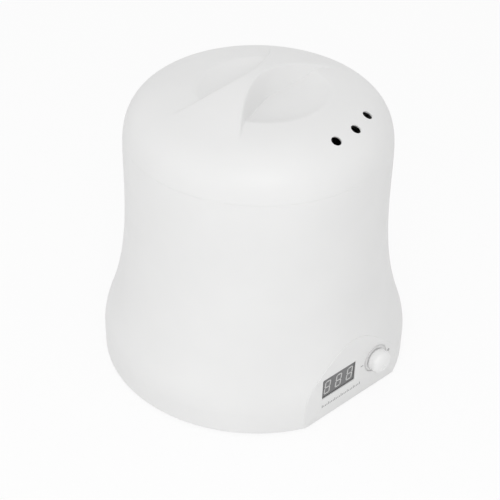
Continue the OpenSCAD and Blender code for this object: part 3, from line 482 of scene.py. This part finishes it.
def make_housing():
    """The housing as one closed mesh: bell with its flat panel, rim, deck and inner wall."""
    front = np.arctan2(np.linspace(-PANEL_HALF_W, PANEL_HALF_W, PANEL_COLUMNS), PANEL_Y)
    back = np.linspace(front[-1], 2 * math.pi + front[0], BACK_COLUMNS)[1:-1]
    angles = np.concatenate([front, back])
    # The panel's flat limits only the front: further round, its distance counts as very large
    facing = np.maximum(np.cos(angles), LEAST_FACING)
    seam_r = float(dome_radius(SEAM_Z))
    panel_z = np.linspace(FOOT_Z + BASE_CHAMFER, PANEL_TOP_Z, PANEL_ROWS)
    neck_z = np.linspace(PANEL_TOP_Z, DOME_Z, NECK_ROWS)[1:]
    seam_z = np.linspace(DOME_Z, SEAM_Z - SEAM_ROUND, SEAM_ROWS)[1:]
    outer = [(BASE_R - BASE_CHAMFER, FOOT_Z)]
    outer += [(float(bell_radius(z)), z) for z in panel_z]
    outer += [(float(bell_radius(z) if z < DOME_Z else dome_radius(z)), z) for z in (*neck_z, *seam_z)]
    plain = [(seam_r - SEAM_ROUND, SEAM_Z), (RIM_R + EDGE_ROUND, SEAM_Z), (RIM_R, SEAM_Z - EDGE_ROUND)]
    plain += [(RIM_R, z) for z in np.linspace(SEAM_Z - RIM_TOP_STEP, DECK_Z + RIM_FOOT_STEP, RIM_ROWS)]
    plain += [(RIM_R - EDGE_ROUND, DECK_Z), (DECK_HOLE_R + EDGE_ROUND, DECK_Z),
              (DECK_HOLE_R, DECK_Z - EDGE_ROUND), (DECK_HOLE_R, DECK_Z - DECK_T)]
    inner_z = np.linspace(DECK_Z - DECK_T, FOOT_Z, INNER_ROWS)
    inner = [(float(bell_radius(z)) - WALL, z) for z in inner_z]

    def round_ring(r, z):
        return np.stack([r * np.sin(angles), -r * np.cos(angles), z + 0 * angles], -1)

    def panel_ring(r, z, inset):
        """A ring that is flat in front, where the panel, moved inwards by an inset, cuts it."""
        return round_ring(smooth_min(r, (panel_face(z) - inset) / facing, PANEL_EDGE_BLEND), z)

    rings = [panel_ring(r, z, 0) for r, z in outer]
    rings += [round_ring(r, z) for r, z in plain]
    rings += [panel_ring(r, z, WALL) for r, z in inner]
    housing = rings_object("housing_shell", rings, wrap_rows=True)
    cut(housing, *panel_tools(PLATE_CLEARANCE, KNOB_RECESS_DEPTH), inlet_tool())
    shade(housing)
    return housing


def make_faceplate():
    """The arched plate on the flat of the panel, with a soft edge."""
    rise = np.linspace(FOOT_Z + BASE_CHAMFER, ARCH_LIMIT_Z, ARCH_TRIES)
    room = bell_radius(rise) ** 2 - panel_face(rise) ** 2
    rise = rise[room > 0]
    half = np.sqrt(room[room > 0]) + PLATE_OVERLAP
    run = np.concatenate([[0], np.cumsum(np.hypot(np.diff(half), np.diff(rise)))])
    stops = np.linspace(0, 1, ARCH_POINTS) * run[-1]
    side_x, side_z = np.interp(stops, run, half), np.interp(stops, run, rise)
    outline = np.concatenate([np.stack([side_x, side_z], -1), np.stack([-side_x, side_z], -1)[::-1]])
    middle = np.array([0, KNOB_Z])

    def ring(inset, depth):
        """The outline, moved towards the middle and back from the plate's face."""
        reach = outline - middle
        flat = middle + reach * (1 - inset / np.hypot(reach[:, 0], reach[:, 1]))[:, None]
        return np.stack([flat[:, 0], depth - plate_face(flat[:, 1]), flat[:, 1]], -1)

    edge = [(PLATE_EDGE * (1 - math.cos(a)), PLATE_EDGE * (1 - math.sin(a)))
            for a in np.linspace(0, math.pi / 2, PLATE_EDGE_ROWS)]
    plate = rings_object("panel_faceplate", [ring(0, PLATE_T)] + [ring(*step) for step in edge])
    cut(plate, *panel_tools(0, WALL))
    shade(plate, angle=25)
    return plate


def panel_tools(grow, recess_depth):
    """The openings in the panel, made larger all round by an amount."""
    return window_tool(grow), knob_ring_tool(grow), knob_recess_tool(grow, recess_depth)


def panel_place(x, y, z):
    """Puts a lathe's axis along -Y, out of the panel."""
    return Matrix.Translation((x, -y, z)) @ Matrix.Rotation(math.pi / 2, 4, "X")


def window_tool(grow):
    """The window's opening, a little wider at the face."""
    width, height, corner = WINDOW_W + 2 * grow, WINDOW_H + 2 * grow, WINDOW_CORNER + grow
    spread = 2 * WINDOW_CHAMFER
    narrow = rounded_rectangle(width, height, corner)
    wide = rounded_rectangle(width + 2 * spread, height + 2 * spread, corner + spread)
    face = plate_face(WINDOW_Z)
    steps = [(narrow, face - 2 * WALL), (narrow, face - WINDOW_CHAMFER), (wide, face + WINDOW_CHAMFER)]
    return rings_object("window_tool", [upright_ring(o, WINDOW_X, -y, WINDOW_Z) for o, y in steps])


def knob_ring_tool(grow):
    """A narrow groove round the knob, with a floor that lies deeper where the groove is made larger."""
    angles = np.linspace(0, 2 * math.pi, KNOB_SIDES, endpoint=False)
    low = plate_face(KNOB_Z) - KNOB_RING_DEPTH - RING_FLOOR_CLEARANCES * grow
    high = PANEL_Y + WALL
    inner, outer = KNOB_RING_R - KNOB_RING_W - grow, KNOB_RING_R + grow
    section = [(outer, high), (outer, low), (inner, low), (inner, high)]
    circle = np.stack([np.cos(angles), np.sin(angles)], -1)
    rings = [upright_ring(r * circle, KNOB_X, -y, KNOB_Z) for r, y in section]
    return rings_object("ring_tool", rings, wrap_rows=True)


def knob_recess_tool(grow, depth):
    """The round recess behind the knob, and the hole for the bush in its floor."""
    wide = KNOB_RECESS_R + grow
    profile = [(BUSH_HOLE_R, -2 * WALL), (BUSH_HOLE_R, -depth), (wide, -depth), (wide, WALL)]
    return lathe("recess_tool", profile, RECESS_SIDES, panel_place(KNOB_X, PANEL_Y, KNOB_Z))


def inlet_tool():
    """The opening for the mains inlet in the back wall."""
    outline = rounded_rectangle(INLET_W, INLET_H, EDGE_ROUND)
    places = (BASE_R - 4 * WALL, BASE_R + WALL)
    return rings_object("inlet_tool", [upright_ring(outline, 0, y, INLET_Z) for y in places])


# Knob

def make_knob():
    """The dial's cap: a slim boss, a lip that stands off the panel, straight sides and a domed face."""
    length = KNOB_FACE_Y - KNOB_BACK_Y
    lip = PANEL_Y + KNOB_STAND_OFF - KNOB_BACK_Y
    side = lip + KNOB_SIDE_L
    low = lip + KNOB_EDGE
    boss_r = KNOB_RECESS_R - KNOB_BOSS_GAP
    hollow_r = boss_r - KNOB_BOSS_WALL
    profile = [(KNOB_HOLLOW_TIP_R, KNOB_HOLLOW_L), (hollow_r, KNOB_HOLLOW_L), (hollow_r, 0), (boss_r, 0),
               (boss_r, lip), (KNOB_R - KNOB_EDGE, lip), (KNOB_R, low)]
    profile += [(KNOB_R, low + (side - lip - KNOB_EDGE) * share) for share in KNOB_SIDE_STEPS]
    for a in np.linspace(0, math.pi / 2, KNOB_DOME_ROWS, endpoint=False):
        r = KNOB_R * math.cos(a) ** KNOB_DOME_FULL
        profile.append((r, side + (length - side) * math.sin(a) ** KNOB_DOME_FULL))
    profile.append((KNOB_FACE_TIP_R, length))
    knob = lathe("knob_cap", profile, KNOB_SIDES, panel_place(KNOB_X, KNOB_BACK_Y, KNOB_Z))
    shade(knob, angle=50)
    return knob


# Display and marks

def flat_shapes(name, outlines, face):
    """Thin plates towards -Y, one for each outline of (x, z) points; face gives the place at a height."""
    points, faces = [], []
    for outline in outlines:
        start, count = len(points), len(outline)
        points += [(x, -face(z), z) for x, z in outline]
        points += [(x, -face(z) - PRINT_T, z) for x, z in outline]
        faces += [[start + i for i in quad] for quad in grid_faces(2, count)]
        faces += [[start + i for i in range(count)], [start + count + i for i in range(count)]]
    obj = new_object(name, points, faces)
    face_outwards(obj)
    return obj


def segment(length, upright):
    """Outline of one display segment with pointed ends, lying along X or Z."""
    half, t = length / 2 - SEGMENT_GAP, SEGMENT_T / 2
    outline = [(-half, 0), (-half + t, t), (half - t, t), (half, 0), (half - t, -t), (-half + t, -t)]
    return [(z, x) for x, z in outline] if upright else outline


def digit_outlines(centre_x):
    """The seven segments of one digit."""
    bar_l, post_l = DIGIT_W - SEGMENT_T, (DIGIT_H - SEGMENT_T) / 2
    places = [((0, k * post_l), segment(bar_l, False)) for k in (-1, 0, 1)]
    places += [((sx * bar_l / 2, sz * post_l / 2), segment(post_l, True)) for sx in (-1, 1) for sz in (-1, 1)]
    outlines = []
    for (x, z), shape in places:
        points = [(x + px, z + pz) for px, pz in shape]
        outlines.append([(WINDOW_X + centre_x + px + DIGIT_SLANT * pz, WINDOW_Z + pz) for px, pz in points])
    return outlines


def make_digits():
    """Three digits on the window's face."""
    outlines = [o for k in (-1, 0, 1) for o in digit_outlines(k * DIGIT_PITCH)]
    return flat_shapes("display_digits", outlines, window_face)


def make_border():
    """The dark printed border of the window."""
    across, tall = WINDOW_W - 2 * BORDER_GAP, WINDOW_H - 2 * BORDER_GAP
    outer = rounded_rectangle(across, tall, BORDER_CORNER)
    inner = rounded_rectangle(across - 2 * BORDER_W, tall - 2 * BORDER_W, BORDER_CORNER)
    low = window_face(WINDOW_Z)
    high = low + PRINT_T
    steps = [(outer, low), (outer, high), (inner, high), (inner, low)]
    rings = [upright_ring(o, WINDOW_X, -y, WINDOW_Z) for o, y in steps]
    return rings_object("window_border", rings, wrap_rows=True)


def box_outline(x, z, width, height):
    """Corners (x, z) of a rectangle round a middle."""
    return [(x + sx * width / 2, z + sz * height / 2) for sx, sz in ((-1, -1), (1, -1), (1, 1), (-1, 1))]


def make_marks():
    """A plain scale under the window, and a minus and a plus beside the knob."""
    outlines = []
    for i in range(SCALE_TICKS):
        height = LONG_TICK_H if i % LONG_TICK_EVERY == 0 else SHORT_TICK_H
        x = SCALE_X + SCALE_L * (i / (SCALE_TICKS - 1) - 0.5)
        outlines.append(box_outline(x, SCALE_Z + height / 2, TICK_W, height))
    for side in (-1, 1):
        outlines.append(box_outline(KNOB_X + side * SIGN_REACH, KNOB_Z, SIGN_ARM, TICK_W))
    stub = (SIGN_ARM - TICK_W) / 2
    for k in (-1, 1):
        outlines.append(box_outline(KNOB_X + SIGN_REACH, KNOB_Z + k * (TICK_W + stub) / 2, TICK_W, stub))
    return flat_shapes("panel_marks", outlines, plate_face)


# Materials

class Look:
    """A procedural material, built up from one Principled shader."""

    def __init__(self, name, color, roughness, **sockets):
        self.material = bpy.data.materials.new(name)
        self.material.use_nodes = True
        self.nodes = self.material.node_tree.nodes
        self.links = self.material.node_tree.links
        self.shader = self.nodes["Principled BSDF"]
        self.color = color
        self.roughness = roughness
        self.normal = None
        self.shader.inputs["Base Color"].default_value = (*color, 1)
        self.shader.inputs["Roughness"].default_value = roughness
        for socket, value in sockets.items():
            self.shader.inputs[socket.replace("_", " ")].default_value = value
        self.place = self.nodes.new("ShaderNodeTexCoord").outputs["Object"]

    def node(self, kind, inputs=(), **settings):
        """A new node, with links or values on its inputs."""
        node = self.nodes.new("ShaderNode" + kind)
        for name, value in settings.items():
            setattr(node, name, value)
        for socket, value in dict(inputs).items():
            if isinstance(value, bpy.types.NodeSocket):
                self.links.new(value, node.inputs[socket])
            else:
                node.inputs[socket].default_value = value
        return node

    def stretched(self, scale):
        """The object's coordinates, scaled by axis."""
        return self.node("Mapping", {"Vector": self.place, "Scale": scale}).outputs["Vector"]

    def noise(self, size, detail=3, stretch=(1, 1, 1), roughness=0.55):
        """Noise with features of a size in millimetres."""
        inputs = {"Vector": self.stretched(stretch), "Scale": 1 / (size * MM), "Detail": detail,
                  "Roughness": roughness}
        return self.node("TexNoise", inputs).outputs["Fac"]

    def lathe_lines(self, size, detail=4, roughness=0.65):
        """Noise that changes only with the distance from Z and the height, as a lathe leaves it."""
        part = self.node("SeparateXYZ", {"Vector": self.place})
        flat = self.node("CombineXYZ", {"X": part.outputs["X"], "Y": part.outputs["Y"]})
        reach = self.node("VectorMath", {0: flat.outputs["Vector"]}, operation="LENGTH")
        place = self.node("CombineXYZ", {"X": reach.outputs["Value"], "Z": part.outputs["Z"]})
        inputs = {"Vector": place.outputs["Vector"], "Scale": 1 / (size * MM), "Detail": detail,
                  "Roughness": roughness}
        return self.node("TexNoise", inputs).outputs["Fac"]

    def cells(self, size, place=None, **settings):
        """Distances in a pattern of cells of a size in millimetres."""
        inputs = {"Vector": place or self.place, "Scale": 1 / (size * MM)}
        return self.node("TexVoronoi", inputs, **settings).outputs["Distance"]

    def span(self, value, low, high, low_in=0.3, high_in=0.7):
        """A value that runs from low to high."""
        inputs = {"Value": value, "From Min": low_in, "From Max": high_in, "To Min": low, "To Max": high}
        return self.node("MapRange", inputs).outputs["Result"]

    def tint(self, value, other, low_in=0.3, high_in=0.7):
        """Mixes another colour into the base colour by a value."""
        share = self.span(value, 0, 1, low_in, high_in)
        mix = self.node("Mix", data_type="RGBA")
        self.links.new(share, mix.inputs["Factor"])
        base = self.shader.inputs["Base Color"]
        if base.is_linked:
            self.links.new(base.links[0].from_socket, mix.inputs["A"])
        else:
            mix.inputs["A"].default_value = (*self.color, 1)
        mix.inputs["B"].default_value = (*other, 1)
        self.links.new(mix.outputs["Result"], base)

    def gloss(self, value, spread):
        """Lets the roughness wander by a value."""
        rough = self.span(value, self.roughness - spread, self.roughness + spread)
        self.links.new(rough, self.shader.inputs["Roughness"])

    def bump(self, value, depth, strength=1.0):
        """Relief of a depth in millimetres, added to what is there."""
        inputs = {"Height": value, "Distance": depth * MM, "Strength": strength}
        if self.normal is not None:
            inputs["Normal"] = self.normal
        self.normal = self.node("Bump", inputs).outputs["Normal"]
        self.links.new(self.normal, self.shader.inputs["Normal"])


def shaded(color, share):
    """A darker shade of a colour."""
    return tuple(c * share for c in color)


def moulded(name, color, roughness, grain=0.35, depth=0.012, **sockets):
    """Moulded plastic: fine texture, faint flow variation in colour and gloss."""
    look = Look(name, color, roughness, **sockets)
    look.tint(look.noise(45, detail=2), shaded(color, 0.975))
    look.gloss(look.noise(9, detail=3), spread=0.04)
    look.bump(look.noise(grain, detail=2), depth)
    look.bump(look.noise(28, detail=1), depth=0.05, strength=0.25)
    return look.material


def turned_metal(name, color, roughness, pitch):
    """Metal spun on a lathe: fine lines round the axis, faint smears."""
    look = Look(name, color, roughness, Metallic=1.0)
    lines = look.lathe_lines(pitch)
    look.tint(lines, shaded(color, 0.84))
    look.tint(look.noise(30, detail=2), shaded(color, 0.95))
    look.gloss(lines, spread=0.06)
    look.bump(lines, depth=0.03)
    return look.material


def drawn_metal(name, color, roughness, stretch, other=None):
    """Metal with streaks along one direction, given as a stretch of the noise by axis."""
    look = Look(name, color, roughness, Metallic=1.0)
    streaks = look.noise(0.6, detail=3, stretch=stretch)
    look.tint(look.noise(12, detail=4), other or shaded(color, 0.82))
    look.gloss(streaks, spread=0.09)
    look.bump(streaks, depth=0.01, strength=0.7)
    return look.material


def plated(name, color, roughness):
    """Plated metal: small crystal grain and dull patches."""
    look = Look(name, color, roughness, Metallic=1.0)
    look.tint(look.cells(1.4), shaded(color, 0.88), low_in=0.1)
    look.gloss(look.noise(3, detail=4), spread=0.08)
    look.bump(look.noise(0.4, detail=2), depth=0.005)
    return look.material


def rubbery(name, color, roughness=0.75):
    """Rubber or silicone: matt, finely pitted."""
    look = Look(name, color, roughness, Specular_IOR_Level=0.3)
    look.tint(look.noise(8, detail=4), shaded(color, 0.8))
    look.gloss(look.noise(2, detail=3), spread=0.08)
    look.bump(look.noise(0.25, detail=3), depth=0.03)
    return look.material


def felted(name, color):
    """Glass wool: crossing fibres and soft lumps."""
    look = Look(name, color, roughness=0.95, Sheen_Weight=0.4)
    fibres = look.noise(0.9, detail=5, stretch=(1, 1, 0.15), roughness=0.7)
    look.tint(fibres, shaded(color, 0.72))
    look.tint(look.noise(10, detail=3), shaded(color, 0.9))
    look.bump(fibres, depth=0.5)
    look.bump(look.noise(6, detail=2), depth=1.0, strength=0.6)
    return look.material


def board_look(name, color):
    """Circuit board: solder mask over a faint pattern of tracks, with small pads."""
    solder = (0.55, 0.5, 0.36)
    look = Look(name, color, roughness=0.4, Coat_Weight=0.25)
    tracks = look.cells(3.2, look.stretched((1, 1, 0.3)), feature="DISTANCE_TO_EDGE")
    look.tint(tracks, shaded(color, 0.6), low_in=0.05, high_in=0.12)
    pads = look.span(look.cells(5), 1, 0, low_in=0.08, high_in=0.11)
    look.tint(pads, solder, low_in=0, high_in=1)
    look.bump(tracks, depth=0.03)
    return look.material


def window_look():
    """Smoked window: dark, glossy, with faint smears."""
    look = Look("smoked_window", (0.085, 0.085, 0.088), 0.16, Coat_Weight=0.5, Coat_Roughness=0.05)
    look.tint(look.noise(7, detail=3), (0.11, 0.11, 0.113))
    look.gloss(look.noise(3, detail=4), spread=0.04)
    look.bump(look.noise(14, detail=2), depth=0.02, strength=0.3)
    return look.material


def printed(name, color, other, roughness, patch, detail, grain, depth):
    """A printed or lit mark: an uneven second colour in patches, and a fine grain."""
    look = Look(name, color, roughness)
    look.tint(look.noise(patch, detail), other)
    look.bump(look.noise(grain, detail=2), depth)
    return look.material


def segment_look():
    """Display segments: pale, slightly uneven light behind a diffuser."""
    return printed("display_segment", (0.52, 0.52, 0.52), (0.6, 0.6, 0.59), roughness=0.4,
                   patch=1.2, detail=2, grain=0.3, depth=0.005)


def ink_look():
    """Screen-printed grey ink with uneven cover."""
    return printed("grey_ink", (0.22, 0.22, 0.225), (0.32, 0.32, 0.32), roughness=0.6,
                   patch=0.5, detail=3, grain=0.15, depth=0.004)


def border_look():
    """Dark printed border of the window."""
    return printed("dark_print", (0.035, 0.035, 0.036), (0.05, 0.05, 0.05), roughness=0.35,
                   patch=0.8, detail=3, grain=0.2, depth=0.004)


# The look of each material slot
WHITE = (0.80, 0.80, 0.797)
SLOT_LOOKS = {
    "white_plastic": moulded("white_plastic", WHITE, 0.42, Specular_IOR_Level=0.3),
    "white_knob": moulded("white_knob", (0.83, 0.83, 0.827), 0.3, grain=0.5, depth=0.006, Coat_Weight=0.2),
    "dark_window": window_look(),
    "black_plastic": moulded("black_plastic", (0.03, 0.03, 0.031), 0.5, grain=0.3, depth=0.03),
    "blue_plastic": moulded("blue_plastic", (0.05, 0.14, 0.42), 0.38),
    "green_plastic": moulded("green_plastic", (0.08, 0.36, 0.15), 0.45),
    "circuit_board": board_look("circuit_board", (0.03, 0.18, 0.08)),
    "aluminium": turned_metal("spun_aluminium", (0.74, 0.74, 0.745), 0.34, pitch=1.6),
    "well_aluminium": turned_metal("drawn_aluminium", (0.6, 0.6, 0.61), 0.42, pitch=2.2),
    "heater_steel": drawn_metal("heater_steel", (0.56, 0.54, 0.5), 0.38, stretch=(0.1, 0.1, 1.6),
                                other=(0.42, 0.36, 0.27)),
    "steel": plated("zinc_steel", (0.66, 0.66, 0.665), 0.3),
    "brass": drawn_metal("brass", (0.74, 0.56, 0.27), 0.3, stretch=(1, 0.1, 1)),
    "glass_wool": felted("glass_wool", (0.82, 0.78, 0.66)),
    "silicone": rubbery("red_silicone", (0.5, 0.12, 0.09)),
    "lead_sleeve": rubbery("lead_sleeve", (0.05, 0.05, 0.052), 0.5),
    "foot_rubber": rubbery("foot_rubber", (0.05, 0.05, 0.05)),
}


# Pieces

def dress(obj, material):
    """Gives an object one material."""
    obj.data.materials.clear()
    obj.data.materials.append(material)


def place_piece(obj, body, material, node=None):
    """Gives a new piece its material and the body that it rides on, and hides the CAD node that it stands
    for.
    """
    dress(obj, material)
    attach(obj, body)
    if node:
        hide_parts(node)


for part in frame["record"]["subparts"]:
    cad_node = frame["nodes"][part["node"]]
    shade(cad_node, angle=30)
    dress(cad_node, SLOT_LOOKS[part["material_slot"]])

place_piece(make_housing(), "housing", SLOT_LOOKS["white_plastic"], "housing")
place_piece(make_faceplate(), "housing", SLOT_LOOKS["white_plastic"])
place_piece(make_lid(), "lid", SLOT_LOOKS["white_plastic"], "lid")
place_piece(make_knob(), "knob", SLOT_LOOKS["white_knob"], "control_knob")
place_piece(make_digits(), "housing", segment_look())
place_piece(make_border(), "housing", border_look())
place_piece(make_marks(), "housing", ink_look())


# Stage, light and camera

def background_rays(nodes, links):
    """1 for the rays that see a white background: camera, glossy and transmission rays."""
    path = nodes.new("ShaderNodeLightPath")
    total = path.outputs["Is Camera Ray"]
    for name in ("Is Glossy Ray", "Is Transmission Ray"):
        join = nodes.new("ShaderNodeMath")
        join.operation = "MAXIMUM"
        links.new(total, join.inputs[0])
        links.new(path.outputs[name], join.inputs[1])
        total = join.outputs["Value"]
    return total


def make_floor():
    """A pale floor that is nearly white to the background rays and keeps the object's shadow."""
    corners = [(-FLOOR_HALF, -FLOOR_HALF, 0), (FLOOR_HALF, -FLOOR_HALF, 0),
               (FLOOR_HALF, FLOOR_HALF, 0), (-FLOOR_HALF, FLOOR_HALF, 0)]
    floor = new_object("floor", corners, [(0, 1, 2, 3)])
    material = bpy.data.materials.new("pale_floor")
    material.use_nodes = True
    nodes, links = material.node_tree.nodes, material.node_tree.links
    nodes.clear()
    matt = nodes.new("ShaderNodeBsdfDiffuse")
    matt.inputs["Color"].default_value = (FLOOR_GREY, FLOOR_GREY, FLOOR_GREY, 1)
    white = nodes.new("ShaderNodeEmission")
    white.inputs["Strength"].default_value = 1
    whiten = nodes.new("ShaderNodeMath")
    whiten.operation = "MULTIPLY"
    whiten.inputs[1].default_value = FLOOR_WHITE_SHARE
    links.new(background_rays(nodes, links), whiten.inputs[0])
    mix = nodes.new("ShaderNodeMixShader")
    links.new(whiten.outputs["Value"], mix.inputs["Fac"])
    links.new(matt.outputs["BSDF"], mix.inputs[1])
    links.new(white.outputs["Emission"], mix.inputs[2])
    links.new(mix.outputs["Shader"], nodes.new("ShaderNodeOutputMaterial").inputs["Surface"])
    floor.data.materials.append(material)


def make_world():
    """Soft light from all sides, in front of a background that is white to the background rays."""
    world = bpy.data.worlds.new("studio")
    bpy.context.scene.world = world
    world.use_nodes = True
    nodes, links = world.node_tree.nodes, world.node_tree.links
    nodes.clear()
    mix = nodes.new("ShaderNodeMixShader")
    links.new(background_rays(nodes, links), mix.inputs["Fac"])
    for socket, strength in ((1, WORLD_LIGHT), (2, 1)):
        background = nodes.new("ShaderNodeBackground")
        background.inputs["Color"].default_value = (1, 1, 1, 1)
        background.inputs["Strength"].default_value = strength
        links.new(background.outputs["Background"], mix.inputs[socket])
    links.new(mix.outputs["Shader"], nodes.new("ShaderNodeOutputWorld").inputs["Surface"])


def make_lamp(name, place, power):
    """A soft box that points at the object's middle."""
    lamp = bpy.data.lights.new(name, "AREA")
    lamp.shape = "RECTANGLE"
    lamp.size = lamp.size_y = LAMP_SIZE * MM
    lamp.energy = power
    obj = bpy.data.objects.new(name, lamp)
    obj.location = Vector(place) * MM
    aim = Vector((0, 0, CAMERA_AIM_Z)) * MM
    obj.rotation_mode = "QUATERNION"
    obj.rotation_quaternion = (obj.location - aim).to_track_quat("Z", "Y")
    bpy.context.scene.collection.objects.link(obj)


def make_camera():
    """The camera, turned round the object, tilted down, rolled and moved in its own picture plane."""
    a, e, roll = CAMERA_AZIMUTH, CAMERA_ELEVATION, CAMERA_ROLL
    back = Vector((-math.sin(a) * math.cos(e), -math.cos(a) * math.cos(e), math.sin(e)))
    level = Vector((math.cos(a), -math.sin(a), 0))
    upright = back.cross(level)
    right = math.cos(roll) * level + math.sin(roll) * upright
    up = back.cross(right)
    eye = Vector((0, 0, CAMERA_AIM_Z)) + right * CAMERA_SIDE + up * CAMERA_LIFT + back * CAMERA_DISTANCE
    camera = bpy.data.cameras.new("camera")
    camera.sensor_width = SENSOR_MM
    camera.lens = CAMERA_FOCAL_PX / PICTURE_PX * SENSOR_MM
    obj = bpy.data.objects.new("camera", camera)
    turn = Matrix((right, up, back)).transposed().to_4x4()
    obj.matrix_world = Matrix.Translation(eye * MM) @ turn
    bpy.context.scene.collection.objects.link(obj)
    bpy.context.scene.camera = obj


make_floor()
make_world()
for lamp_name, (lamp_place, lamp_power) in LAMPS.items():
    make_lamp(lamp_name, lamp_place, lamp_power)
make_camera()
bpy.context.scene.view_settings.view_transform = "Standard"
